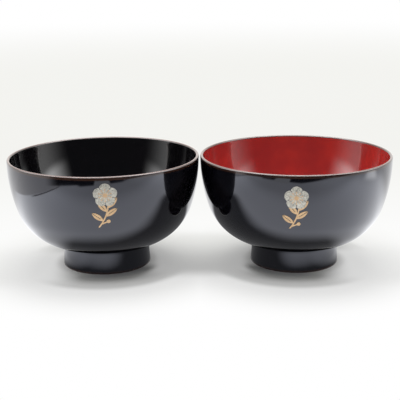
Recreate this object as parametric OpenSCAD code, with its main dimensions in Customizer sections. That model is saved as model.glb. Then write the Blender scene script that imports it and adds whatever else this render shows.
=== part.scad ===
// A pair of turned and lacquered soup bowls that stand side by side.
// Each bowl is a turned wooden core under separate coats of lacquer: one outside, one inside,
// one in the recess of the foot ring and a thin line over the lip. A small raised picture,
// a silver blossom on a gold spray, sits on the front. One bowl is black inside, the other red.
// The origin is on the table, midway between the two bowls, with the pictures towards -Y.

/* [Bowl] */
// Diameter across the rim
bowl_d = 115; // [104:1:126]
// Height from the table to the top of the rim
bowl_h = 67; // [63:1:75]
// Thickness of the lip, lacquer included
lip_t = 1.8; // [1.4:0.1:2.4]
// Depth of the upright band under the rim, where the wall stops curving
lip_straight = 2; // [1.2:0.1:3.6]
// Radius of the low bend where the side turns into the underside
haunch_r = 33.5; // [30:0.5:36]
// Angle below level at which the side's long arc meets the low bend, in degrees
side_turn = 19; // [17:0.5:23]
// Height of the underside above the table, at the bowl's axis, before the recess is turned
underside_h = 12; // [11:0.1:13.5]
// Slope of the underside where the low bend meets it, in degrees
underside_slope = 6; // [3:0.5:8]

/* [Hollow] */
// Lean of the inner wall away from upright where it leaves the lip, in degrees
hollow_lean = 8; // [5:0.5:9.5]
// Height of the inside floor above the table, at the bowl's axis
floor_h = 15.5; // [15:0.25:17]
// Radius of the low bend inside the bowl
hollow_haunch_r = 28; // [26:0.5:30]
// Angle below level at which the inner side meets the inner bend, in degrees
hollow_turn = 30; // [27:0.5:33]
// Slope of the dished floor where the inner bend meets it, in degrees
floor_slope = 11; // [8:0.5:13]

/* [Foot ring] */
// Diameter of the foot ring at the table
foot_d = 53.8; // [50:0.2:60]
// How much the foot ring narrows on each side from the table to its neck
foot_flare = 0.9; // [0.5:0.1:1.6]
// Width of the foot ring at the table
foot_ring_w = 5; // [4:0.1:6.5]
// Depth of the recess turned under the bowl
recess_h = 10; // [8:0.25:11]
// Radius of the corner round the top of the recess
recess_corner_r = 2; // [1:0.1:4]
// Radius of the hollow corner between the foot ring and the body
neck_fillet_r = 0.8; // [0.5:0.1:1.6]
// Radius on the two edges of the foot ring at the table
foot_edge_r = 0.8; // [0.5:0.1:1.4]

/* [Lacquer] */
// Thickness of every coat of lacquer
coat_t = 0.3; // [0.2:0.05:0.4]
// How far the line over the lip comes down outside
rim_line_drop = 1; // [0.5:0.1:2]

/* [Picture] */
// How far the silver stands out from the lacquer
silver_raise = 0.12; // [0.08:0.01:0.16]
// How far the gold stands out from the lacquer
gold_raise = 0.2; // [0.18:0.01:0.3]
// Width of the blossom
blossom_d = 13.6; // [11:0.1:15]
// Diameter of each round petal
petal_d = 6.6; // [5.8:0.1:7]
// Width of the bare line between two petals
petal_gap = 0.3; // [0.2:0.05:0.5]
// Diameter of the gold heart of the blossom
heart_d = 2.4; // [1.6:0.1:2.8]
// Distance of the stamens' tips from the middle of the blossom
stamen_reach = 3.4; // [2.8:0.1:3.8]
// Diameter of the dot at the tip of each stamen
stamen_dot_d = 0.75; // [0.5:0.05:0.9]
// Width of each stamen's thread
stamen_w = 0.28; // [0.2:0.02:0.4]
// Width of the stem
stem_w = 0.8; // [0.5:0.05:1]
// Radius to which the stem bends
stem_bend_r = 25; // [22:0.5:28]
// How far right of the blossom's middle the stem leaves it
stem_x = 1.6; // [0.8:0.1:2.2]
// Length of each leaf
leaf_l = 8; // [7:0.1:8.6]
// Width of each leaf
leaf_w = 3; // [2.2:0.1:3.4]
// Width of the bare rib along each leaf
leaf_rib_w = 0.3; // [0.2:0.02:0.4]
// Length of the twig that carries the bud
twig_l = 4.2; // [3:0.1:5]
// Diameter of the bud
bud_d = 2.2; // [1.6:0.1:2.6]
// Depth of the blossom's middle below the rim, on the bowl that is black inside
black_bowl_picture_drop = 10.3; // [10:0.1:14]
// Depth of the blossom's middle below the rim, on the bowl that is red inside
red_bowl_picture_drop = 12.9; // [10:0.1:14]
// Turn of the picture from the front towards +X, on the bowl that is black inside, in degrees
black_bowl_picture_turn = 6.5; // [-20:0.5:20]
// Turn of the picture from the front towards +X, on the bowl that is red inside, in degrees
red_bowl_picture_turn = -5; // [-20:0.5:20]

/* [Pair] */
// Gap between the two rims
pair_gap = 0.8; // [0.6:0.1:20]

/* [Hidden] */
$fn = 160;

// Overrun of a cut past the face that it opens
over = 1;
// Longer than anything in a section, for the far corners of its wedges
reach = bowl_d + bowl_h;

petal_count = 5;
stamen_count = 10;
// Sweep of the stem below the level where it leaves the blossom, in degrees
stem_sweep_angle = 39;
// How far down the stem's bend each leaf grows, and which way it points, both in degrees
leaf_places = [[9, 49], [14.5, 130], [21, 36], [28, 142]];
// The same for the bud's twig
twig_place = [33, 22];

rim_r = bowl_d / 2;
// Where the long arc outside ends and the wall goes on upright
body_top = [rim_r, bowl_h - lip_straight];
lip_r = lip_t / 2;
// Middle of the round that finishes the lip
lip = [rim_r - lip_r, bowl_h - lip_r];

// The direction at an angle below level, in the half section
function below(angle) = [cos(angle), -sin(angle)];

// Where the inner wall leaves the lip's round
hollow_top = lip - lip_r * below(hollow_lean);

// A turned profile is three arcs that run into each other: a long one down the side from its top,
// where it has some lean, a short one round the haunch and a wide one across the bottom. Its run
// is the distance between the middles of the first two, so that the third ends at height base_z.
function run_of(top, lean, base_z, bend_r, turn, slope) =
    (top[1] + bend_r * sin(lean) - base_z - bend_r
        - (top[0] - bend_r * cos(lean)) * tan(slope / 2))
    / (sin(turn) - sin(lean) - (cos(lean) - cos(turn)) * tan(slope / 2));
function side_middle(top, lean, bend_r, run) = top - (bend_r + run) * below(lean);
function wide_radius(bend, bend_r, slope) = bend_r + bend[0] / sin(slope);

body_run = run_of(body_top, 0, underside_h, haunch_r, side_turn, underside_slope);
body_middle = side_middle(body_top, 0, haunch_r, body_run);
haunch = body_middle + body_run * below(side_turn);
underside_r = wide_radius(haunch, haunch_r, underside_slope);

// The neck, where the foot ring stands upright and its fillet starts. The fillet rolls under the
// haunch, or under the wide arc of the underside where the foot ring stands further in.
neck_r = foot_d / 2 - foot_flare;
fillet_x = neck_r + neck_fillet_r;
under_haunch = fillet_x > haunch[0] + (haunch_r + neck_fillet_r) * sin(underside_slope);
carrier = under_haunch ? haunch : [0, underside_h + underside_r];
carrier_r = (under_haunch ? haunch_r : underside_r) + neck_fillet_r;
fillet = [fillet_x, carrier[1] - sqrt(pow(carrier_r, 2) - pow(fillet_x - carrier[0], 2))];
neck_z = fillet[1];
// A point inside the body, in line with the fillet's middle and the middle of the arc over it
root = fillet + (carrier - fillet) * haunch_r / carrier_r;

// The foot ring's side is a shallow cove that ends upright at the neck
cove_r = (pow(neck_z, 2) + pow(foot_flare, 2)) / (2 * foot_flare);
cove = [neck_r + cove_r, neck_z];
foot_edge = [
    cove[0] - sqrt(pow(cove_r + foot_edge_r, 2) - pow(neck_z - foot_edge_r, 2)),
    foot_edge_r
];
recess_r = foot_d / 2 - foot_ring_w;

// Half section of everything inside a turned profile up to end_z, grown outwards by grow.
// The round of the haunch lies inside the two longer arcs that run into it, so it reaches in
// under both of them and leaves no seam.
module turned_section(top, lean, end_z, base_z, bend_r, turn, slope, grow) {
    run = run_of(top, lean, base_z, bend_r, turn, slope);
    middle = side_middle(top, lean, bend_r, run);
    bend = middle + run * below(turn);
    base_r = wide_radius(bend, bend_r, slope);
    side_ray = bend + reach * below(turn);
    base_ray = bend + reach * below(90 - slope);
    intersection() {
        translate(middle) circle(bend_r + run + grow);
        polygon([[0, bend[1]], bend, side_ray, [reach, end_z], [0, end_z]]);
    }
    intersection() {
        translate(bend) circle(bend_r + grow);
        translate([0, -reach]) square([2 * reach, reach + bend[1] + over]);
    }
    intersection() {
        translate([0, base_z + base_r]) circle(base_r + grow);
        polygon([[0, bend[1]], bend, base_ray, [0, -reach]]);
    }
}

// Half section of the body as if it were solid, without its foot ring
module body_section(grow) {
    turned_section(body_top, 0, body_top[1], underside_h, haunch_r, side_turn,
        underside_slope, grow);
    translate([0, body_top[1]]) square([body_top[0] + grow, lip_straight]);
}

// Half section of the hollow that holds the soup, which runs out past the lip
module hollow_section(grow) {
    turned_section(hollow_top, hollow_lean, bowl_h + over, floor_h, hollow_haunch_r,
        hollow_turn, floor_slope, grow);
}

// Everything in the half section that lies below the round of the lip
module under_lip() {
    polygon([[0, -over], [reach, -over], lip + [reach, 0], lip,
        [0, lip[1] + lip[0] * tan(hollow_lean)]]);
}

// Half section of the foot ring as if it were solid. The face on the table isn't coated,
// so it keeps its height whatever grow is.
module foot_section(grow) {
    square([foot_edge[0], foot_edge_r]);
    translate(foot_edge) circle(foot_edge_r + grow);
    difference() {
        polygon([[0, foot_edge_r], foot_edge, cove, [0, neck_z]]);
        translate(cove) circle(cove_r - grow);
    }
    translate([0, neck_z]) square([neck_r + grow, haunch[1] - neck_z]);
    difference() {
        polygon([[neck_r + grow, neck_z], fillet, root]);
        translate(fillet) circle(neck_fillet_r - grow);
    }
}

// Half section of the recess under the bowl
module recess_section(grow) {
    corner = [recess_r - recess_corner_r, recess_h - recess_corner_r];
    translate([0, -over]) square([recess_r + grow, corner[1] + over]);
    translate([0, -over]) square([corner[0], recess_h + grow + over]);
    translate(corner) circle(recess_corner_r + grow);
    difference() {
        translate([0, -over]) square([recess_r + foot_edge_r, foot_edge_r + over]);
        translate([recess_r + foot_edge_r, foot_edge_r]) circle(foot_edge_r - grow);
    }
}

module outside_section(grow) {
    body_section(grow);
    foot_section(grow);
}

// Half section of the round on top of the wall, grown by grow
module lip_section(grow) {
    intersection() {
        translate(lip) circle(lip_r + grow);
        polygon([lip, lip - reach * below(hollow_lean), lip + [0, reach], lip + [reach, 0]]);
    }
}

// The turned wood, with its foot ring, one coat smaller than the finished bowl all round
module core() {
    rotate_extrude() {
        intersection() {
            difference() {
                outside_section(-coat_t);
                hollow_section(coat_t);
                recess_section(coat_t);
            }
            under_lip();
        }
        lip_section(-coat_t);
    }
}

// The coat outside, from under the rim line down to the table
module outer_lacquer() {
    rotate_extrude() intersection() {
        difference() {
            outside_section(0);
            outside_section(-coat_t);
        }
        square([reach, lip[1] - rim_line_drop]);
    }
}

// The coat that lines the hollow
module inner_lacquer() {
    rotate_extrude() intersection() {
        difference() {
            hollow_section(coat_t);
            hollow_section(0);
        }
        under_lip();
    }
}

// The coat in the recess, down the inside of the foot ring to the table
module foot_lacquer() {
    rotate_extrude() intersection() {
        difference() {
            recess_section(coat_t);
            recess_section(0);
        }
        square([reach, reach]);
    }
}

// The thin line over the lip, which hides the joint between the two coats
module rim_line() {
    rotate_extrude() {
        difference() {
            lip_section(0);
            lip_section(-coat_t);
        }
        translate([rim_r - coat_t, lip[1] - rim_line_drop]) square([coat_t, rim_line_drop]);
    }
}

// A flat drawing laid on the front of the bowl, as a layer between two heights above the lacquer.
// It stays on the side's long arc. The drawing's own middle lies drop below the rim, turned
// towards +X.
module laid_on(drop, turn, from_raise, to_raise) {
    side_r = haunch_r + body_run;
    intersection() {
        rotate_extrude() intersection() {
            translate(body_middle) difference() {
                circle(side_r + to_raise);
                circle(side_r + from_raise);
            }
            polygon([haunch, haunch + reach * below(side_turn), body_top + [reach, 0],
                [haunch[0], body_top[1]]]);
        }
        rotate([0, 0, turn]) rotate([90, 0, 0])
            linear_extrude(rim_r + over) translate([0, bowl_h - drop]) children();
    }
}

module petal_ring() {
    for (i = [0:petal_count - 1])
        rotate(90 + i * 360 / petal_count)
            translate([(blossom_d - petal_d) / 2, 0]) circle(d = petal_d);
}

module blossom_outline() {
    petal_ring();
    circle(d = petal_d);
}

// Round petals with a bare line between neighbours
module blossom() {
    difference() {
        blossom_outline();
        for (i = [0:petal_count - 1])
            rotate(90 + (i + 0.5) * 360 / petal_count)
                translate([stamen_reach + stamen_dot_d, -petal_gap / 2])
                    square([blossom_d, petal_gap]);
    }
}

// The heart and the ring of stamens that lie on top of the petals
module stamens() {
    circle(d = heart_d);
    for (i = [0:stamen_count - 1])
        rotate(90 + i * 360 / stamen_count) {
            translate([0, -stamen_w / 2]) square([stamen_reach, stamen_w]);
            translate([stamen_reach, 0]) circle(d = stamen_dot_d);
        }
}

// A pointed leaf along +X between two arcs, split by its rib as far as its tip
module leaf() {
    bow_r = (pow(leaf_l, 2) + pow(leaf_w, 2)) / (4 * leaf_w);
    difference() {
        translate([leaf_l / 2, 0]) intersection() {
            translate([0, bow_r - leaf_w / 2]) circle(bow_r);
            translate([0, leaf_w / 2 - bow_r]) circle(bow_r);
        }
        translate([leaf_l / 4, -leaf_rib_w / 2]) square([leaf_l, leaf_rib_w]);
    }
}

// A short twig along +X with a bud at its end
module twig() {
    translate([0, -stem_w / 2]) square([twig_l, stem_w]);
    translate([twig_l, 0]) circle(d = bud_d);
}

// Puts something that points along +X on the middle line of the stem
module grow_at(place) {
    rotate(-place[0]) translate([stem_bend_r, 0]) rotate(place[0] + place[1]) children();
}

// The bent stem, its leaves and its bud, which all stop at the edge of the blossom
module spray() {
    bend_middle = [stem_x - stem_bend_r, -(blossom_d - petal_d) / 2];
    difference() {
        translate(bend_middle) {
            intersection() {
                difference() {
                    circle(stem_bend_r + stem_w / 2);
                    circle(stem_bend_r - stem_w / 2);
                }
                polygon([[0, 0], [reach, 0], reach * below(stem_sweep_angle)]);
            }
            for (place = leaf_places) grow_at(place) leaf();
            grow_at(twig_place) twig();
        }
        blossom_outline();
    }
}

module silver_blossom(drop, turn) {
    laid_on(drop, turn, 0, silver_raise) blossom();
}

module gold_spray(drop, turn) {
    laid_on(drop, turn, 0, gold_raise) spray();
    laid_on(drop, turn, silver_raise, gold_raise) stamens();
}

// Moves a bowl's piece to its place on the table: -1 is the left bowl, 1 the right one
module stand(side) {
    translate([side * (bowl_d + pair_gap) / 2, 0, 0]) children();
}

module black_bowl_core() { color("#6b4a33") stand(-1) core(); }
module black_bowl_outer_lacquer() { color("#14141a") stand(-1) outer_lacquer(); }
module black_bowl_inner_lacquer() { color("#101015") stand(-1) inner_lacquer(); }
module black_bowl_foot_lacquer() { color("#14141a") stand(-1) foot_lacquer(); }
module black_bowl_rim_line() { color("#4a211c") stand(-1) rim_line(); }
module black_bowl_silver_blossom() {
    color("#bdb9ae") stand(-1) silver_blossom(black_bowl_picture_drop, black_bowl_picture_turn);
}
module black_bowl_gold_spray() {
    color("#d8b98c") stand(-1) gold_spray(black_bowl_picture_drop, black_bowl_picture_turn);
}

module red_bowl_core() { color("#6b4a33") stand(1) core(); }
module red_bowl_outer_lacquer() { color("#14141a") stand(1) outer_lacquer(); }
module red_bowl_inner_lacquer() { color("#9c2222") stand(1) inner_lacquer(); }
module red_bowl_foot_lacquer() { color("#14141a") stand(1) foot_lacquer(); }
module red_bowl_rim_line() { color("#5a2a22") stand(1) rim_line(); }
module red_bowl_silver_blossom() {
    color("#bdb9ae") stand(1) silver_blossom(red_bowl_picture_drop, red_bowl_picture_turn);
}
module red_bowl_gold_spray() {
    color("#d8b98c") stand(1) gold_spray(red_bowl_picture_drop, red_bowl_picture_turn);
}

black_bowl_core();
black_bowl_outer_lacquer();
black_bowl_inner_lacquer();
black_bowl_foot_lacquer();
black_bowl_rim_line();
black_bowl_silver_blossom();
black_bowl_gold_spray();
red_bowl_core();
red_bowl_outer_lacquer();
red_bowl_inner_lacquer();
red_bowl_foot_lacquer();
red_bowl_rim_line();
red_bowl_silver_blossom();
red_bowl_gold_spray();
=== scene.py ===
from math import asin, atan2, ceil, cos, pi, radians, sin, sqrt, tan

import bpy
from bpy.props import FloatProperty, FloatVectorProperty, IntProperty, PointerProperty
from mathutils import Matrix, Vector


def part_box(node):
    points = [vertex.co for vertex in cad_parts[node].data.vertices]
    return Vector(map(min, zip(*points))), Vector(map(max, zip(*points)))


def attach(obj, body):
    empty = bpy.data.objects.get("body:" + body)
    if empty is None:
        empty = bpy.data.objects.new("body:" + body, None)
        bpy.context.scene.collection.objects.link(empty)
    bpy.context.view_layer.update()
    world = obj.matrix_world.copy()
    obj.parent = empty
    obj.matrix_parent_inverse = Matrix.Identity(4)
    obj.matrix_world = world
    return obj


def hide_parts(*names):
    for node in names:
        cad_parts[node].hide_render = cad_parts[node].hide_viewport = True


bl_info = {
    "name": "Lacquered Soup Bowls",
    "version": (1, 0, 0),
    "blender": (4, 5, 0),
    "location": "View3D > Sidebar > Soup Bowls",
    "description": "Turns and finishes a pair of lacquered soup bowls, and lights them",
    "category": "Add Mesh",
}

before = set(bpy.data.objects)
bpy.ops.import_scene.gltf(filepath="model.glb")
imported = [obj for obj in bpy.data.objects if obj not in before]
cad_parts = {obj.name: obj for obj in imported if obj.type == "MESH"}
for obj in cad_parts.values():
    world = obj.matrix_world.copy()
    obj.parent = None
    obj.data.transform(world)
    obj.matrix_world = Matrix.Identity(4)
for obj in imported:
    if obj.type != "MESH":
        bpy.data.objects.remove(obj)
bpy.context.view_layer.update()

MM = 0.001
BOWLS = ("black_bowl", "red_bowl")


def box_middle_x(node):
    low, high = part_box(node)
    return (low.x + high.x) / 2


MIDDLE_X = {bowl: box_middle_x(bowl + "_core") for bowl in BOWLS}
COAT_LOW, COAT_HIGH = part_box("black_bowl_outer_lacquer")
RIM_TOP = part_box("black_bowl_rim_line")[1].z


def length(name, description, millimetres):
    return FloatProperty(name=name, description=description, default=millimetres * MM,
                         min=0, subtype="DISTANCE", unit="LENGTH", precision=5)


def angle(name, description, degrees):
    return FloatProperty(name=name, description=description, default=radians(degrees),
                         subtype="ANGLE", unit="ROTATION")


def colour(name, description, red, green, blue):
    return FloatVectorProperty(name=name, description=description, default=(red, green, blue),
                               min=0, max=1, size=3, subtype="COLOR")


def amount(name, description, default, low=0.0, high=10.0):
    return FloatProperty(name=name, description=description, default=default, min=low, max=high)


class TurningSizes(bpy.types.PropertyGroup):
    """Sizes of the turned bowls"""
    rim_d: length("Rim diameter", "Diameter across the rim", (COAT_HIGH.x - COAT_LOW.x) / MM)
    bowl_h: length("Height", "Height from the table to the top of the rim", RIM_TOP / MM)
    lip_t: length("Lip thickness", "Thickness of the lip, lacquer included", 1.8)
    lip_straight: length("Upright band", "Depth of the upright band under the rim", 2)
    haunch_r: length("Haunch radius", "Radius of the low bend outside", 33.5)
    side_turn: angle("Side turn", "Angle below level where the side meets the low bend", 19)
    underside_h: length("Underside height", "Height of the underside at the axis", 12)
    underside_slope: angle("Underside slope", "Slope of the underside where the bend meets it", 6)
    hollow_lean: angle("Hollow lean", "Lean of the inner wall where it leaves the lip", 8)
    floor_h: length("Floor height", "Height of the inside floor at the axis", 15.5)
    hollow_haunch_r: length("Inner bend radius", "Radius of the low bend inside", 28)
    hollow_turn: angle("Hollow turn", "Angle below level where the inner side meets the bend", 30)
    floor_slope: angle("Floor slope", "Slope of the dished floor where the bend meets it", 11)
    foot_d: length("Foot diameter", "Diameter of the foot ring at the table", 53.8)
    foot_flare: length("Foot flare", "How much the foot ring narrows to its neck", 0.9)
    foot_ring_w: length("Foot ring width", "Width of the foot ring at the table", 5)
    recess_h: length("Recess depth", "Depth of the recess under the bowl", 10)
    recess_corner_r: length("Recess corner", "Radius of the corner in the recess", 2)
    neck_fillet_r: length("Neck fillet", "Radius between the foot ring and the body", 0.8)
    foot_edge_r: length("Foot edge", "Radius on the foot ring's edges", 0.8)
    coat_t: length("Coat", "Thickness of every coat of lacquer", 0.3)
    rim_line_drop: length("Rim line", "How far the line over the lip comes down outside", 1)
    segments: IntProperty(name="Segments", description="Steps round each bowl",
                          default=240, min=32, max=512)


class LacquerColours(bpy.types.PropertyGroup):
    """Colours and gloss of the finishes"""
    black: colour("Black lacquer", "Deep black of the outside", 0.003, 0.003, 0.0055)
    black_thin: colour("Thin black", "Black where the lacquer lies thinner", 0.0055, 0.0045, 0.0058)
    black_inside: colour("Black inside", "Black of the lined hollow", 0.004, 0.004, 0.005)
    red: colour("Red lacquer", "Red of the lined hollow", 0.6, 0.052, 0.042)
    red_deep: colour("Deep red", "Red where the lacquer lies thicker", 0.46, 0.041, 0.039)
    # Partly painted highlight: the line's reddish brown is lightened to stand in for the lip's
    # highlight
    rim: colour("Rim line", "Reddish brown of the line over the lip", 0.3, 0.16, 0.14)
    rim_low: colour("Under the rim line", "Dark red-brown below the line", 0.02, 0.006, 0.005)
    worn: colour("Worn lacquer", "Brown that shows where a foot's edge is worn", 0.05, 0.02, 0.012)
    silver: colour("Silver powder", "Colour of the blossom", 0.8, 0.775, 0.69)
    gold: colour("Gold powder", "Colour of the stem, leaves, bud and stamens", 0.83, 0.58, 0.34)
    wood: colour("Wood", "Late rings of the turned wood", 0.16, 0.075, 0.035)
    wood_pale: colour("Pale wood", "Early rings of the turned wood", 0.3, 0.165, 0.085)


class StudioSetup(bpy.types.PropertyGroup):
    """The floor, the backdrop and the light"""
    backdrop: colour("Backdrop", "Even colour of the far floor and the backdrop", 0.9, 0.9, 0.87)
    paper: colour("Floor", "Colour of the floor round the bowls", 0.88, 0.882, 0.845)
    # Painted shade: the floor's colour is darkened to this where each foot faces the camera
    paper_painted_shade: colour("Deepest shade", "Colour of the floor in front of each foot", 0.65, 0.65,
                       0.65)
    ambient: amount("Ambient light", "Strength of the even light from all round", 0.45)
    lamp_watts: amount("Lamp", "Power of the soft lamp overhead, in watts", 11.0, 0, 100)
    lamp_w: length("Lamp width", "Width of the soft lamp", 900)
    lamp_h: length("Lamp height", "Height of the lamp above the table", 1200)
    lamp_back: length("Lamp setback", "How far behind the bowls the lamp hangs", 420)
    floor_w: length("Floor width", "Width of the floor", 24000)


def sizes():
    return bpy.context.scene.turning_sizes


def colours():
    return bpy.context.scene.lacquer_colours


def studio():
    return bpy.context.scene.studio_setup


def opaque(rgb):
    return (*rgb, 1.0)


# The turned profile, worked out from the sizes in the half section of X and Z

def below(turn):
    """The direction at an angle below level."""
    return Vector((cos(turn), 0, -sin(turn)))


class Turning:
    """The middles and radii of one side of the wall: a long arc down the side, a short one
    round the haunch and a wide one across the bottom, which run into each other."""

    def __init__(self, top, lean, base_z, bend_r, turn, slope):
        # The bend's middle stands higher over the bottom the further it is from the axis
        rise = tan(slope / 2)
        # How much longer the side's radius is than the bend's
        run = (top.z + bend_r * sin(lean) - base_z - bend_r
               - (top.x - bend_r * cos(lean)) * rise)
        run /= sin(turn) - sin(lean) - (cos(lean) - cos(turn)) * rise
        self.top = top
        self.lean, self.turn, self.slope = lean, turn, slope
        self.side_r = bend_r + run
        self.side = top - self.side_r * below(lean)
        self.bend_r = bend_r
        self.bend = self.side + run * below(turn)
        self.base_r = bend_r + self.bend.x / sin(slope)
        self.base = Vector((0, 0, base_z + self.base_r))


def lip_middle(s):
    return Vector((s.rim_d / 2 - s.lip_t / 2, 0, s.bowl_h - s.lip_t / 2))


def outside(s):
    top = Vector((s.rim_d / 2, 0, s.bowl_h - s.lip_straight))
    return Turning(top, 0, s.underside_h, s.haunch_r, s.side_turn, s.underside_slope)


def inside(s):
    top = lip_middle(s) - s.lip_t / 2 * below(s.hollow_lean)
    return Turning(top, s.hollow_lean, s.floor_h, s.hollow_haunch_r, s.hollow_turn, s.floor_slope)


class FootProfile:
    """Middles and turns of the arcs from the haunch down to the foot ring's edge."""

    def __init__(self, s, body):
        neck_r = s.foot_d / 2 - s.foot_flare
        reach = body.bend_r + s.neck_fillet_r
        x = neck_r + s.neck_fillet_r
        self.fillet = Vector((x, 0, body.bend.z - sqrt(reach ** 2 - (x - body.bend.x) ** 2)))
        to_fillet = self.fillet - body.bend
        self.haunch_turn = -atan2(to_fillet.z, to_fillet.x) - body.turn
        self.fillet_turn = self.haunch_turn + body.turn
        # The ring's side is upright at the neck and comes out to the foot's width at the table
        neck_z = self.fillet.z
        self.cove_r = (neck_z ** 2 + s.foot_flare ** 2) / (2 * s.foot_flare)
        self.cove = Vector((neck_r + self.cove_r, 0, neck_z))
        self.cove_turn = asin((neck_z - s.foot_edge_r) / (self.cove_r + s.foot_edge_r))
        edge_x = self.cove.x - (self.cove_r + s.foot_edge_r) * cos(self.cove_turn)
        self.edge = Vector((edge_x, 0, s.foot_edge_r))
        self.edge_turn = pi / 2 + self.cove_turn


# Modelling

CHORD = 1.4 * MM             # longest step along an arc
SMALL_TURN = radians(8)      # largest turn in one step
DOUBLE = 0.002 * MM          # points nearer than this are one
CREASE = radians(32)         # edges sharper than this stay crisp


def deselect_all():
    if bpy.context.object and bpy.context.object.mode != "OBJECT":
        bpy.ops.object.mode_set(mode="OBJECT")
    bpy.ops.object.select_all(action="DESELECT")


def only(piece):
    """Makes piece the one selected object."""
    deselect_all()
    piece.select_set(True)
    bpy.context.view_layer.objects.active = piece


class Pen:
    """Draws a half section in edit mode with a point that it draws out along lines and arcs."""

    def __init__(self, name, start):
        deselect_all()
        bpy.ops.mesh.primitive_plane_add(size=CHORD, location=start)
        self.piece = bpy.context.object
        self.piece.name = self.piece.data.name = name
        bpy.ops.object.transform_apply(location=True, rotation=False, scale=False)
        bpy.ops.object.mode_set(mode="EDIT")
        bpy.ops.mesh.select_all(action="SELECT")
        bpy.ops.mesh.merge(type="CENTER")
        self.at = start.copy()

    def line(self, step):
        bpy.ops.mesh.extrude_region_move(TRANSFORM_OT_translate={"value": step})
        self.at = self.at + step

    def line_to(self, end):
        self.line(end - self.at)

    def arc(self, middle, turn):
        """Turns the point about middle, anticlockwise as seen from the front."""
        arm = self.at - middle
        steps = ceil(max(abs(turn) * arm.length / CHORD, abs(turn) / SMALL_TURN))
        bpy.ops.mesh.spin(steps=steps, angle=turn, center=middle, axis=(0, 1, 0))
        x, z = arm.x, arm.z
        self.at = middle + Vector((x * cos(turn) - z * sin(turn), 0, x * sin(turn) + z * cos(turn)))

    def turn_round(self, segments):
        """Spins the half section round the bowl's axis, which makes a closed skin."""
        bpy.ops.mesh.select_all(action="SELECT")
        bpy.ops.mesh.remove_doubles(threshold=DOUBLE)
        bpy.ops.mesh.select_all(action="SELECT")
        bpy.ops.mesh.spin(steps=segments, angle=2 * pi, center=(0, 0, 0), axis=(0, 0, 1))
        bpy.ops.mesh.select_all(action="SELECT")
        bpy.ops.mesh.remove_doubles(threshold=DOUBLE)
        bpy.ops.mesh.select_all(action="SELECT")
        bpy.ops.mesh.normals_make_consistent(inside=False)
        bpy.ops.object.mode_set(mode="OBJECT")
        only(self.piece)
        bpy.ops.object.shade_smooth_by_angle(angle=CREASE)
        return self.piece


def put_in_place(piece, bowl):
    only(piece)
    bpy.ops.transform.translate(value=(MIDDLE_X[bowl], 0, 0))
    bpy.ops.object.transform_apply(location=True, rotation=True, scale=True)


def stand_pair(piece, part, slots, materials):
    """Copies a finished piece for the second bowl and puts both in their places."""
    only(piece)
    bpy.ops.object.duplicate(linked=False)
    pair = (piece, bpy.context.object)
    for bowl, made, slot, material in zip(BOWLS, pair, slots, materials):
        put_in_place(made, bowl)
        made.name = made.data.name = f"{bowl}_{part}_finish"
        made.data.materials.clear()
        made.data.materials.append(material)
        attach(made, bowl)
        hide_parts(f"{bowl}_{part}")


# Shader building

def node(tree, kind, links=None, **settings):
    """Adds a shader node, sets it up and gives its inputs values or links."""
    made = tree.nodes.new("ShaderNode" + kind)
    for key, value in settings.items():
        setattr(made, key, value)
    for key, value in (links or {}).items():
        if isinstance(value, bpy.types.NodeSocket):
            tree.links.new(value, made.inputs[key])
        else:
            made.inputs[key].default_value = value
    return made


def blended(tree, factor, a, b):
    """The colour between two colours."""
    return node(tree, "Mix", {0: factor, 6: a, 7: b}, data_type="RGBA").outputs[2]


def towards(tree, factor, a, b):
    """The value between two values."""
    return node(tree, "Mix", {0: factor, 2: a, 3: b}, data_type="FLOAT").outputs[0]


def calc(tree, a, b, operation="ADD", clamp=False):
    """Two values added, or worked out by another operation."""
    return node(tree, "Math", {0: a, 1: b}, operation=operation, use_clamp=clamp).outputs[0]


def times(tree, first, *others):
    """Values or masks multiplied."""
    for other in others:
        first = calc(tree, first, other, "MULTIPLY")
    return first


def spread(tree, value, low, high, to_low=0.0, to_high=1.0):
    """A value stretched from one range to another, with soft ends."""
    return node(tree, "MapRange", {"Value": value, "From Min": low, "From Max": high,
                                   "To Min": to_low, "To Max": to_high},
                interpolation_type="SMOOTHSTEP").outputs[0]


def inside_band(tree, value, middle, half, soft):
    """A mask that is 1 within half of the middle and fades to 0 over soft."""
    away = calc(tree, calc(tree, value, middle, "SUBTRACT"), 0.0, "ABSOLUTE")
    return spread(tree, away, half, half + soft, 1.0, 0.0)


def length_of(tree, vector):
    return node(tree, "VectorMath", {0: vector}, operation="LENGTH").outputs["Value"]


def distance(tree, x, y):
    """How far a place is from the one where both values are 0."""
    return length_of(tree, node(tree, "CombineXYZ", {0: x, 1: y}).outputs[0])


def start_group(name, takes, gives):
    """An empty node group with its named inputs and outputs."""
    group = bpy.data.node_groups.new(name, "ShaderNodeTree")
    for socket, kind, value in takes:
        made = group.interface.new_socket(socket, in_out="INPUT", socket_type="NodeSocket" + kind)
        if value is not None:
            made.default_value = value
    for socket, kind in gives:
        group.interface.new_socket(socket, in_out="OUTPUT", socket_type="NodeSocket" + kind)
    return (group, group.nodes.new("NodeGroupInput").outputs,
            group.nodes.new("NodeGroupOutput").inputs)


def placed(tree, group, links):
    """The outputs of a group placed in a material."""
    return node(tree, "Group", links, node_tree=group).outputs


def polish_group():
    """Polished lacquer: slow ripples in the coat and patches where its gloss is a little hazier."""
    group, takes, gives = start_group(
        "Polish",
        [("Place", "Vector", None), ("Ripples per metre", "Float", 45.0),
         ("Patches per metre", "Float", 90.0), ("Clear", "Float", 0.04), ("Hazy", "Float", 0.1)],
        [("Height", "Float"), ("Roughness", "Float")])
    ripple = node(group, "TexNoise", {"Vector": takes["Place"], "Scale": takes["Ripples per metre"],
                                      "Detail": 1.5, "Roughness": 0.4})
    patch = node(group, "TexNoise", {"Vector": takes["Place"], "Scale": takes["Patches per metre"],
                                     "Detail": 4.0, "Roughness": 0.6})
    haze = node(group, "MapRange", {"Value": patch.outputs[0], "From Min": 0.35, "From Max": 0.7,
                                    "To Min": takes["Clear"], "To Max": takes["Hazy"]})
    group.links.new(ripple.outputs[0], gives["Height"])
    group.links.new(haze.outputs[0], gives["Roughness"])
    return group


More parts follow.
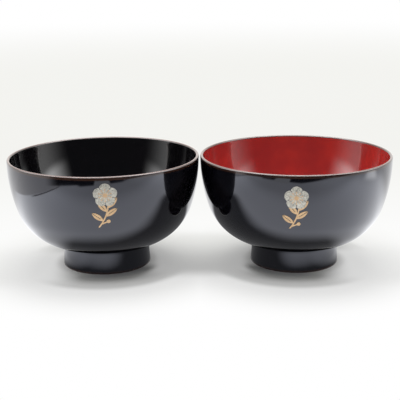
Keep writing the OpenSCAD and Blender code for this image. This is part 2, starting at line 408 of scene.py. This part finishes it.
def speck_group():
    """Specks: a few fine grains of dust or pinholes, each a small round mask."""
    group, takes, gives = start_group(
        "Specks",
        [("Place", "Vector", None), ("Specks per metre", "Float", 900.0),
         ("Size", "Float", 0.12), ("Share", "Float", 0.08)],
        [("Mask", "Float")])
    cells = node(group, "TexVoronoi", {"Vector": takes["Place"],
                                       "Scale": takes["Specks per metre"]})
    near = calc(group, cells.outputs["Distance"], takes["Size"], "LESS_THAN")
    pick = node(group, "SeparateColor", {0: cells.outputs["Color"]})
    chosen = calc(group, pick.outputs[0], takes["Share"], "LESS_THAN")
    group.links.new(times(group, near, chosen), gives["Mask"])
    return group


def wear_group():
    """Worn edge: a mask that fades out above a height, broken up by noise."""
    group, takes, gives = start_group(
        "Worn edge",
        [("Place", "Vector", None), ("Worn below", "Float", 0.4 * MM),
         ("Whole above", "Float", 2 * MM), ("Breaks per metre", "Float", 350.0),
         ("Break-up", "Float", 1.2 * MM)],
        [("Mask", "Float")])
    height = node(group, "SeparateXYZ", {0: takes["Place"]}).outputs["Z"]
    breaks = node(group, "TexNoise", {"Vector": takes["Place"], "Scale": takes["Breaks per metre"],
                                      "Detail": 5.0, "Roughness": 0.65})
    shift = times(group, calc(group, breaks.outputs[0], 0.5, "SUBTRACT"), takes["Break-up"])
    mask = spread(group, calc(group, height, shift), takes["Worn below"], takes["Whole above"],
                  1.0, 0.0)
    group.links.new(mask, gives["Mask"])
    return group


def powder_group():
    """Sprinkled powder: flakes that differ in brightness, thinner in places."""
    group, takes, gives = start_group(
        "Sprinkled powder",
        [("Place", "Vector", None), ("Flakes per metre", "Float", 5200.0),
         ("Colour", "Color", (0.5, 0.5, 0.5, 1)), ("Shade", "Color", (0.2, 0.2, 0.2, 1)),
         ("Contrast", "Float", 0.5)],
        [("Colour", "Color"), ("Height", "Float"), ("Roughness", "Float")])
    flakes = node(group, "TexVoronoi", {"Vector": takes["Place"],
                                        "Scale": takes["Flakes per metre"]})
    tone = node(group, "SeparateColor", {0: flakes.outputs["Color"]}).outputs[0]
    drift = node(group, "TexNoise", {"Vector": takes["Place"], "Scale": 420.0, "Detail": 3.0})
    dark = calc(group, times(group, tone, drift.outputs[0]), takes["Contrast"], "MULTIPLY",
                clamp=True)
    group.links.new(blended(group, dark, takes["Colour"], takes["Shade"]), gives["Colour"])
    group.links.new(tone, gives["Height"])
    group.links.new(spread(group, tone, 0, 1, 0.32, 0.55), gives["Roughness"])
    return group


def grain_group():
    """Turned wood: growth rings cut across, with fine pores along the grain."""
    group, takes, gives = start_group(
        "Turned grain",
        [("Place", "Vector", None), ("Early wood", "Color", (0.3, 0.2, 0.1, 1)),
         ("Late wood", "Color", (0.15, 0.08, 0.04, 1))],
        [("Colour", "Color"), ("Height", "Float")])
    stretched = node(group, "Mapping", {"Vector": takes["Place"], "Scale": (1.0, 0.12, 1.0)})
    warp = node(group, "TexNoise", {"Vector": stretched.outputs[0], "Scale": 60.0, "Detail": 3.0})
    rings = node(group, "TexWave", {"Vector": stretched.outputs[0], "Scale": 140.0,
                                    "Distortion": 3.0, "Detail": 2.0}, bands_direction="X")
    pores = node(group, "TexNoise", {"Vector": stretched.outputs[0], "Scale": 2600.0,
                                     "Detail": 2.0})
    tone = times(group, rings.outputs["Fac"], warp.outputs[0])
    group.links.new(blended(group, tone, takes["Early wood"], takes["Late wood"]), gives["Colour"])
    group.links.new(pores.outputs[0], gives["Height"])
    return group


def start_material(name):
    """A material with its output, and the place of each point in the model's own frame."""
    material = bpy.data.materials.new(name)
    material.use_nodes = True
    tree = material.node_tree
    tree.nodes.clear()
    place = node(tree, "TexCoord").outputs["Object"]
    return material, tree, place, node(tree, "OutputMaterial").inputs["Surface"]


def bumped(tree, height, strength, depth):
    return node(tree, "Bump", {"Height": height, "Strength": strength,
                               "Distance": depth}).outputs[0]


DULLED = 0.25                # roughness that a speck or a worn edge adds
THINNED = 0.6                # share of the clear coat that a worn edge has lost
# The heights where the rim line's colour comes in; that colour is partly a painted highlight
LINE_AND_HIGHLIGHT_FADE = (RIM_TOP - 0.4 * MM, RIM_TOP - 0.1 * MM)


def lacquer(name, groups, deep, thin, clear, hazy, ripple, worn=None, specular=0.5,
            tint=(1.0, 1.0, 1.0), line=None):
    """Glossy lacquer: a layer between two colours under a clear coat, with ripples, haze, specks
    and wear. A line's colour, partly a painted highlight, takes over towards the top of the rim."""
    material, tree, place, surface = start_material(name)
    polish = placed(tree, groups["polish"], {"Place": place, "Clear": clear, "Hazy": hazy})
    specks = placed(tree, groups["specks"], {"Place": place})
    layer = node(tree, "TexNoise", {"Vector": place, "Scale": 38.0, "Detail": 3.0})
    base = blended(tree, spread(tree, layer.outputs[0], 0.35, 0.65), opaque(deep), opaque(thin))
    roughness = calc(tree, polish["Roughness"], times(tree, specks["Mask"], DULLED))
    coat_weight = 1.0
    if worn is not None:
        wear = placed(tree, groups["wear"], {"Place": place})
        base = blended(tree, wear["Mask"], base, opaque(worn))
        roughness = calc(tree, roughness, times(tree, wear["Mask"], DULLED))
        coat_weight = calc(tree, 1.0, times(tree, wear["Mask"], THINNED), "SUBTRACT")
    # The rim line's colour on the lip's top, partly a painted highlight
    if line is not None:
        height = node(tree, "SeparateXYZ", {0: place}).outputs["Z"]
        base = blended(tree, spread(tree, height, *LINE_AND_HIGHLIGHT_FADE), base, opaque(line))
    shader = node(tree, "BsdfPrincipled",
                  {"Base Color": base, "Roughness": roughness,
                   "Normal": bumped(tree, polish["Height"], 0.35, ripple),
                   "Coat Weight": coat_weight, "Coat Roughness": 0.03,
                   "Coat IOR": 1.5, "IOR": 1.5, "Specular IOR Level": specular,
                   "Specular Tint": opaque(tint)})
    tree.links.new(shader.outputs[0], surface)
    return material


def powder(name, groups, bright, shade, contrast, flakes_per_metre):
    """Metal powder sprinkled on wet lacquer and lightly polished."""
    material, tree, place, surface = start_material(name)
    flakes = placed(tree, groups["powder"], {"Place": place, "Colour": opaque(bright),
                                             "Shade": opaque(shade), "Contrast": contrast,
                                             "Flakes per metre": flakes_per_metre})
    shader = node(tree, "BsdfPrincipled",
                  {"Base Color": flakes["Colour"], "Roughness": flakes["Roughness"],
                   "Metallic": 0.5, "IOR": 1.5,
                   "Normal": bumped(tree, flakes["Height"], 0.3, 0.03 * MM)})
    tree.links.new(shader.outputs[0], surface)
    return material


def bare_wood(name, groups):
    """Turned wood, sealed dark with lacquer where it shows on the foot ring's face."""
    c = colours()
    material, tree, place, surface = start_material(name)
    grain = placed(tree, groups["grain"], {"Place": place, "Early wood": opaque(c.wood_pale),
                                           "Late wood": opaque(c.wood)})
    worn = placed(tree, groups["wear"], {"Place": place, "Worn below": 0.05 * MM,
                                         "Whole above": 0.3 * MM, "Break-up": 0.0})
    sealed = blended(tree, 0.75, grain["Colour"], opaque(c.black))
    shader = node(tree, "BsdfPrincipled",
                  {"Base Color": blended(tree, worn["Mask"], grain["Colour"], sealed),
                   "Roughness": 0.55, "IOR": 1.5,
                   "Normal": bumped(tree, grain["Height"], 0.3, 0.05 * MM)})
    tree.links.new(shader.outputs[0], surface)
    return material


def finishes():
    """The materials by name, made when the first piece asks for them."""
    if "Black lacquer outside" not in bpy.data.materials:
        c = colours()
        groups = {"polish": polish_group(), "specks": speck_group(), "wear": wear_group(),
                  "powder": powder_group(), "grain": grain_group()}
        lacquer("Black lacquer outside", groups, c.black, c.black_thin, clear=0.05, hazy=0.11,
                ripple=0.12 * MM, worn=c.worn, specular=0.65, tint=(0.75, 0.8, 1.0))
        lacquer("Black lacquer inside", groups, c.black_inside, c.black_thin, clear=0.06,
                hazy=0.12, ripple=0.1 * MM)
        lacquer("Red lacquer", groups, c.red_deep, c.red, clear=0.1, hazy=0.16, ripple=0.1 * MM)
        # The rim line's colour is partly a painted highlight along the lip
        lacquer("Rim lacquer", groups, c.worn, c.rim_low, clear=0.14, hazy=0.24,
                ripple=0.05 * MM, line=c.rim)
        powder("Silver powder", groups, c.silver, shade=(0.18, 0.172, 0.15), contrast=1.2,
               flakes_per_metre=2100.0)
        powder("Gold powder", groups, c.gold, shade=(0.5, 0.3, 0.15), contrast=0.8,
               flakes_per_metre=3600.0)
        bare_wood("Turned wood", groups)
    return {m.name: m for m in bpy.data.materials}


# Operators

class MESH_OT_outer_coats(bpy.types.Operator):
    """Turn the coat outside both bowls, from under the rim line down to the table"""
    bl_idname = "mesh.outer_coats"
    bl_label = "Outer coats"

    def execute(self, context):
        s = sizes()
        body = outside(s)
        foot = FootProfile(s, body)
        start = Vector((s.rim_d / 2, 0, lip_middle(s).z - s.rim_line_drop))
        edges = [(body.side, -body.turn), (body.bend, -foot.haunch_turn),
                 (foot.fillet, foot.fillet_turn), (foot.cove, foot.cove_turn),
                 (foot.edge, -foot.edge_turn)]
        pen = Pen("outer_coat", start)
        pen.line_to(body.top)
        for middle, turn in edges:
            pen.arc(middle, turn)
        pen.line(Vector((0, 0, s.coat_t)))
        for middle, turn in reversed(edges):
            pen.arc(middle, -turn)
        pen.line(start - body.top)
        pen.line_to(start)
        coat = finishes()["Black lacquer outside"]
        stand_pair(pen.turn_round(s.segments), "outer_lacquer", ("black_lacquer",) * 2,
                   (coat, coat))
        return {"FINISHED"}


class MESH_OT_inner_coats(bpy.types.Operator):
    """Turn the coats that line the hollows, one black and one red"""
    bl_idname = "mesh.inner_coats"
    bl_label = "Inner coats"

    def execute(self, context):
        s = sizes()
        hollow = inside(s)
        arcs = [(hollow.side, hollow.lean - hollow.turn),
                (hollow.bend, hollow.turn + hollow.slope - pi / 2), (hollow.base, -hollow.slope)]
        pen = Pen("inner_coat", hollow.top)
        for middle, turn in arcs:
            pen.arc(middle, turn)
        pen.line(Vector((0, 0, -s.coat_t)))
        for middle, turn in reversed(arcs):
            pen.arc(middle, -turn)
        pen.line_to(hollow.top)
        made = finishes()
        stand_pair(pen.turn_round(s.segments), "inner_lacquer", ("black_lacquer", "red_lacquer"),
                   (made["Black lacquer inside"], made["Red lacquer"]))
        return {"FINISHED"}


class MESH_OT_foot_coats(bpy.types.Operator):
    """Turn the coats in the recesses under both bowls"""
    bl_idname = "mesh.foot_coats"
    bl_label = "Foot coats"

    def execute(self, context):
        s = sizes()
        recess_r = s.foot_d / 2 - s.foot_ring_w
        edge = Vector((recess_r + s.foot_edge_r, 0, s.foot_edge_r))
        corner = Vector((recess_r - s.recess_corner_r, 0, s.recess_h - s.recess_corner_r))
        wall = Vector((0, 0, corner.z - edge.z))
        roof = Vector((-corner.x, 0, 0))
        start = Vector((edge.x, 0, 0))
        pen = Pen("foot_coat", start)
        pen.arc(edge, -pi / 2)
        pen.line(wall)
        pen.arc(corner, pi / 2)
        pen.line(roof)
        pen.line(Vector((0, 0, s.coat_t)))
        pen.line(-roof)
        pen.arc(corner, -pi / 2)
        pen.line(-wall)
        pen.arc(edge, pi / 2)
        pen.line_to(start)
        coat = finishes()["Black lacquer outside"]
        stand_pair(pen.turn_round(s.segments), "foot_lacquer", ("black_lacquer",) * 2, (coat, coat))
        return {"FINISHED"}


class MESH_OT_rim_lines(bpy.types.Operator):
    """Turn the thin lines over both lips"""
    bl_idname = "mesh.rim_lines"
    bl_label = "Rim lines"

    def execute(self, context):
        s = sizes()
        lip = lip_middle(s)
        over_lip = pi - s.hollow_lean
        start = Vector((s.rim_d / 2, 0, lip.z - s.rim_line_drop))
        up = Vector((0, 0, s.rim_line_drop))
        pen = Pen("rim_line", start)
        pen.line(up)
        pen.arc(lip, over_lip)
        pen.line(s.coat_t * below(s.hollow_lean))
        pen.arc(lip, -over_lip)
        pen.line(-up)
        pen.line_to(start)
        line = finishes()["Rim lacquer"]
        stand_pair(pen.turn_round(s.segments), "rim_line", ("rim_lacquer",) * 2, (line, line))
        return {"FINISHED"}


class MESH_OT_carried_parts(bpy.types.Operator):
    """Finish the wooden cores and the raised pictures that come from the frame"""
    bl_idname = "mesh.carried_parts"
    bl_label = "Cores and pictures"

    def execute(self, context):
        made = finishes()
        for part, material in (("core", "Turned wood"), ("silver_blossom", "Silver powder"),
                               ("gold_spray", "Gold powder")):
            for bowl in BOWLS:
                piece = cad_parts[f"{bowl}_{part}"]
                if not piece.material_slots:
                    piece.data.materials.append(None)
                for slot in piece.material_slots:
                    slot.material = made[material]
        return {"FINISHED"}


# The studio, in metres from the middle between the bowls: X to the right, Y away from the camera

ROUND = 96                   # steps round the floor and the wall
ROOM_R = 1.3
ROOM_H = 2.6
FLOOR_CARD_Z = 0.4 * MM      # just over the floor that the camera sees
WHITE = (1.0, 1.0, 1.0)
DARK = (0.0, 0.0, 0.0)


def around_feet(tree, place):
    """How far a place is to either side, how far back, how far outwards from the nearer bowl's
    middle, and how far from that middle in all."""
    axes = node(tree, "SeparateXYZ", {0: place}).outputs
    wide = calc(tree, axes["X"], 0.0, "ABSOLUTE")
    off = calc(tree, wide, MIDDLE_X["red_bowl"], "SUBTRACT")
    return wide, axes["Y"], off, distance(tree, off, axes["Y"])


def bearing_of(tree, x, y):
    """The angle round the middle, from straight in front."""
    return calc(tree, x, times(tree, y, -1.0), "ARCTAN2")


def layered(tree, tone, *layers):
    """A tone with other tones laid over it in turn, each where its mask says."""
    tone = opaque(tone)
    for mask, laid in layers:
        tone = blended(tree, mask, tone, opaque(laid))
    return tone


def shader_mix(tree, factor, a, b):
    """The shader between two shaders."""
    return node(tree, "MixShader", {0: factor, 1: a.outputs[0], 2: b.outputs[0]})


def glow(tree, tone):
    return node(tree, "Emission", {"Color": tone, "Strength": 1.0})


def finished(material, tree, surface, shader):
    """Gives the material its shader. Its glow is only looked at and isn't a lamp."""
    tree.links.new(shader.outputs[0], surface)
    material.cycles.emission_sampling = "NONE"
    return material


def shown_where(material, tree, surface, mask, tone):
    """Makes the material glow with its tone where the mask is 1, and clear elsewhere."""
    clear = node(tree, "BsdfTransparent")
    return finished(material, tree, surface, shader_mix(tree, mask, clear, glow(tree, tone)))


def floor_material():
    """Paper lit by the lamp and in the bowls' real shade, with painted shade darkened into its
    colour where each foot faces the camera. Where the camera or the gloss looks, it gives way to
    even glow away from the feet, in a painted pattern that lightens the real shade, and the glow is
    white in front and far off."""
    u = studio()
    material, tree, place, surface = start_material("Studio floor")
    wide, y, off, from_foot = around_feet(tree, place)
    # Painted shade: the paper's colour is darkened where a foot faces the camera and the other bowl
    facing = calc(tree, times(tree, y, -0.82), times(tree, off, 0.57), "SUBTRACT")
    tucked = times(tree, spread(tree, facing, 0.014, 0.024),
                   spread(tree, y, -0.018, -0.003, 1.0, 0.0))
    from_shade = distance(tree, calc(tree, off, 0.0012), calc(tree, y, 0.005))
    deepest_painted_shade = times(tree, tucked, spread(tree, from_shade, 0.024, 0.03, 1.0, 0.0))
    paper_with_painted_shade = blended(tree, deepest_painted_shade, opaque(u.paper), opaque(u.paper_painted_shade))
    paper = node(tree, "BsdfDiffuse", {"Color": paper_with_painted_shade})
    white = calc(tree, spread(tree, y, -0.1, 0.35, 1.0, 0.0),
                 spread(tree, length_of(tree, place), 0.9, 2.2), "MAXIMUM")
    even = glow(tree, blended(tree, white, opaque(u.backdrop), opaque(WHITE)))
    # Painted lightening of the real shade: the share of even glow grows away from a foot in three
    # rises, which add up to 1
    level = spread(tree, from_foot, 0.033, 0.047, 0.0, 0.3)
    for near, far in ((0.047, 0.055), (0.055, 0.1)):
        level = calc(tree, level, spread(tree, from_foot, near, far, 0.0, 0.35))
    # Painted lightening: the glow washes out more of the real shade between the bowls and beside
    # them
    between = times(tree, spread(tree, wide, 0.025, 0.05, 1.0, 0.0),
                    inside_band(tree, y, 0.014, 0.03, 0.02))
    beside = times(tree, spread(tree, wide, 0.066, 0.092),
                   spread(tree, wide, 0.115, 0.15, 1.0, 0.0),
                   inside_band(tree, y, -0.01, 0.02, 0.025))
    level = towards(tree, between, level, 0.33)
    level = towards(tree, beside, level, 0.59)
    # Painted contact shade: less glow next to each foot, none where it faces the camera, so the
    # real shade shows darker
    painted_contact_shade = towards(tree, tucked, spread(tree, from_foot, 0.026, 0.034, 0.55, 1.0),
                      spread(tree, from_shade, 0.027, 0.034))
    path = node(tree, "LightPath").outputs
    seen = calc(tree, path["Is Camera Ray"], path["Is Glossy Ray"], "MAXIMUM")
    seen = calc(tree, seen, path["Is Transmission Ray"], "MAXIMUM")
    top = shader_mix(tree, times(tree, level, painted_contact_shade, seen), paper, even)
    below_floor = node(tree, "NewGeometry").outputs["Backfacing"]
    return finished(material, tree, surface,
                    shader_mix(tree, below_floor, top, node(tree, "BsdfTransparent")))


def painted_floor_reflection_material():
    """A painted reflection of the floor, seen only in the lacquer's gloss: painted brighter beside
    the bowls and painted shadow under them, dark beyond the table's front with a pale gap in the
    dark, a painted bright patch on the right, and on the left a sheet's edge and the duller floor
    beyond it. A second mirroring is painted dimmer."""
    material, tree, place, surface = start_material("Floor card")
    wide, y, off, from_foot = around_feet(tree, place)
    x = node(tree, "SeparateXYZ", {0: place}).outputs["X"]
    outside_feet = spread(tree, from_foot, 0.027, 0.029)
    beside = spread(tree, wide, 0.06, 0.24)
    far_sides = spread(tree, wide, 0.25, 0.4)
    behind = spread(tree, y, 0.02, 0.1)
    nearer = spread(tree, y, -0.19, -0.11, 0.3, 0.0)
    from_row = distance(tree, calc(tree, off, 0.0, "MAXIMUM"), y)
    # Painted shadow under and between the bowls, as the lacquer mirrors it
    shade = times(tree, spread(tree, from_row, 0.042, 0.069, 0.9, 0.0),
                  spread(tree, wide, 0.08, 0.1, 1.0, 0.5))
    # The table's front is nearly round and reaches further out at both sides
    right = calc(tree, calc(tree, x, 0.06, "SUBTRACT"), 0.0, "MAXIMUM")
    reach = calc(tree, spread(tree, x, -0.16, -0.13, 0.03, 0.012), times(tree, right, 0.5))
    table_r = calc(tree, length_of(tree, place), reach, "SUBTRACT")
    off_table = times(tree, spread(tree, table_r, 0.244, 0.266),
                      inside_band(tree, bearing_of(tree, x, y), 0.0, radians(50), radians(16)))
    gap = times(tree, inside_band(tree, x, -0.038, 0.036, 0.008),
                inside_band(tree, y, -0.278, 0.03, 0.006))
    off_sheet = times(tree, spread(tree, x, -0.222, -0.216, 1.0, 0.0),
                      spread(tree, y, 0.05, 0.15, 1.0, 0.0))
    sheet_edge = times(tree, inside_band(tree, x, -0.214, 0.0022, 0.002),
                       inside_band(tree, y, -0.11, 0.055, 0.03))
    # A painted bright patch on the right, which the lacquer shows as a highlight
    painted_bright_patch = times(tree, inside_band(tree, x, 0.36, 0.03, 0.06),
                   inside_band(tree, y, -0.03, 0.015, 0.05))
    # Painted dimming where the gloss meets the card a second time
    painted_second_dimming = times(tree, calc(tree, node(tree, "LightPath").outputs["Glossy Depth"], 1.5,
                             "GREATER_THAN"), 0.85)
    # Painted tones: brighter beside the bowls, dimmer far to the sides and behind, painted shadow
    # under the bowls, darker towards the front
    tone = layered(tree, (1.15, 1.16, 1.2),
                   (beside, (1.6, 1.62, 1.68)),
                   (far_sides, (0.9, 0.9, 0.92)),
                   (behind, (0.85, 0.85, 0.86)),
                   (shade, DARK),
                   (nearer, DARK),
                   (off_sheet, (0.9, 0.89, 0.9)),
                   (painted_bright_patch, (2.6, 2.6, 2.6)),
                   (painted_second_dimming, DARK),
                   (sheet_edge, (0.18, 0.17, 0.16)),
                   (off_table, (0.02, 0.02, 0.022)),
                   (gap, (0.75, 0.75, 0.75)))
    return shown_where(material, tree, surface, outside_feet, tone)


def painted_room_reflection_material():
    """A painted reflection of the room, seen only in the lacquer's gloss: dark on the camera's
    side, brighter round the sides and more so higher up, with a bright band overhead, and open
    behind the bowls. The bright bands stand in for lamps and are painted highlights."""
    material, tree, place, surface = start_material("Wall card")
    axes = node(tree, "SeparateXYZ", {0: place}).outputs
    height = axes["Z"]
    round_by = calc(tree, bearing_of(tree, axes["X"], axes["Y"]), 0.0, "ABSOLUTE")
    low, high = (0.85, 0.85, 0.85), (3.8, 3.8, 3.8)
    dark_side, overhead = (0.03, 0.03, 0.034), (5.6, 5.6, 5.6)
    # Painted highlights: the higher band and the overhead band glow well above white
    sides = layered(tree, low, (spread(tree, height, 0.36, 0.53), high))
    tone = blended(tree, spread(tree, round_by, radians(52), radians(95)), opaque(dark_side), sides)
    tone = blended(tree, spread(tree, height, 1.2, 1.35), tone, opaque(overhead))
    in_front = spread(tree, round_by, radians(104), radians(122), 1.0, 0.0)
    return shown_where(material, tree, surface, in_front, tone)


class SCENE_OT_bowl_studio(bpy.types.Operator):
    """Set up the pale floor, the soft light and the glowing cards that paint what the lacquer
    mirrors
    """
    bl_idname = "scene.bowl_studio"
    bl_label = "Studio"

    def execute(self, context):
        self.lay_floor()
        self.light()
        self.mirror_cards()
        return {"FINISHED"}

    def lay_floor(self):
        deselect_all()
        bpy.ops.mesh.primitive_circle_add(radius=studio().floor_w / 2, fill_type="NGON",
                                          vertices=ROUND)
        floor = bpy.context.object
        floor.name = floor.data.name = "studio_floor"
        floor.data.materials.append(floor_material())

    def light(self):
        u = studio()
        world = bpy.data.worlds.new("Studio air")
        bpy.context.scene.world = world
        world.use_nodes = True
        tree = world.node_tree
        tree.nodes.clear()
        path = node(tree, "LightPath").outputs
        seen = calc(tree, path["Is Glossy Ray"], path["Is Transmission Ray"], "MAXIMUM")
        around = blended(tree, seen, opaque([u.ambient] * 3), opaque(u.backdrop))
        around = blended(tree, path["Is Camera Ray"], around, opaque(WHITE))
        air = node(tree, "Background", {"Color": around, "Strength": 1.0})
        tree.links.new(air.outputs[0], node(tree, "OutputWorld").inputs["Surface"])
        bpy.ops.object.light_add(type="AREA", location=(0, u.lamp_back, u.lamp_h))
        lamp = bpy.context.object
        lamp.name = lamp.data.name = "soft_lamp"
        lamp.data.shape = "SQUARE"
        lamp.data.size = u.lamp_w
        lamp.data.energy = u.lamp_watts

    def mirror_cards(self):
        # Cards whose glow paints the reflections in the lacquer
        deselect_all()
        bpy.ops.mesh.primitive_plane_add(size=2 * ROOM_R, location=(0, 0, FLOOR_CARD_Z))
        self.only_in_gloss(bpy.context.object, "floor_card", painted_floor_reflection_material())
        deselect_all()
        bpy.ops.mesh.primitive_cylinder_add(vertices=ROUND, radius=ROOM_R, depth=ROOM_H,
                                            end_fill_type="NOTHING", location=(0, 0, ROOM_H / 2))
        self.only_in_gloss(bpy.context.object, "wall_card", painted_room_reflection_material())

    def only_in_gloss(self, card, name, material):
        """Hides a card from everything but the lacquer's gloss."""
        card.name = card.data.name = name
        bpy.ops.object.transform_apply(location=True, rotation=True, scale=True)
        card.data.materials.append(material)
        card.visible_camera = card.visible_diffuse = card.visible_shadow = False
        card.visible_transmission = card.visible_volume_scatter = False


class SCENE_OT_bowl_camera(bpy.types.Operator):
    """Stand the camera where the bowls are seen from the front and a little above"""
    bl_idname = "scene.bowl_camera"
    bl_label = "Camera"

    def execute(self, context):
        place = Vector((2.723, -528.535, 181.886)) * MM
        yaw, pitch, roll = radians(-0.292), radians(15.204), radians(-0.581)
        lens_mm, sensor_mm = 80.66, 36.0
        deselect_all()
        bpy.ops.object.camera_add(location=place)
        camera = bpy.context.object
        camera.name = camera.data.name = "bowl_camera"
        ahead = Vector((sin(yaw) * cos(pitch), cos(yaw) * cos(pitch), -sin(pitch)))
        right = ahead.cross(Vector((0, 0, 1))).normalized()
        up = right.cross(ahead)
        axes = (cos(roll) * right + sin(roll) * up, cos(roll) * up - sin(roll) * right, -ahead)
        turn = Matrix(axes).transposed().to_4x4()
        camera.matrix_world = Matrix.Translation(place) @ turn
        camera.data.sensor_width = sensor_mm
        camera.data.lens = lens_mm
        camera.data.clip_start = 0.01
        camera.data.clip_end = 60
        context.scene.camera = camera
        return {"FINISHED"}


class VIEW3D_PT_soup_bowls(bpy.types.Panel):
    """Lists the steps that make the bowls"""
    bl_idname = "VIEW3D_PT_soup_bowls"
    bl_label = "Soup Bowls"
    bl_space_type = "VIEW_3D"
    bl_region_type = "UI"
    bl_category = "Soup Bowls"

    def draw(self, context):
        for step in STEPS:
            self.layout.operator(step.bl_idname)


STEPS = (MESH_OT_outer_coats, MESH_OT_inner_coats, MESH_OT_foot_coats, MESH_OT_rim_lines,
         MESH_OT_carried_parts, SCENE_OT_bowl_studio, SCENE_OT_bowl_camera)
SETTINGS = {"turning_sizes": TurningSizes, "lacquer_colours": LacquerColours,
            "studio_setup": StudioSetup}


def register():
    for kind in (*SETTINGS.values(), *STEPS, VIEW3D_PT_soup_bowls):
        bpy.utils.register_class(kind)
    for name, kind in SETTINGS.items():
        setattr(bpy.types.Scene, name, PointerProperty(type=kind))


def unregister():
    for name in SETTINGS:
        delattr(bpy.types.Scene, name)
    for kind in reversed((*SETTINGS.values(), *STEPS, VIEW3D_PT_soup_bowls)):
        bpy.utils.unregister_class(kind)


def main():
    register()
    bpy.context.scene.view_settings.view_transform = "Standard"
    for step in STEPS:
        group, name = step.bl_idname.split(".")
        getattr(getattr(bpy.ops, group), name)()
    bpy.context.view_layer.update()


if __name__ == "__main__":
    main()
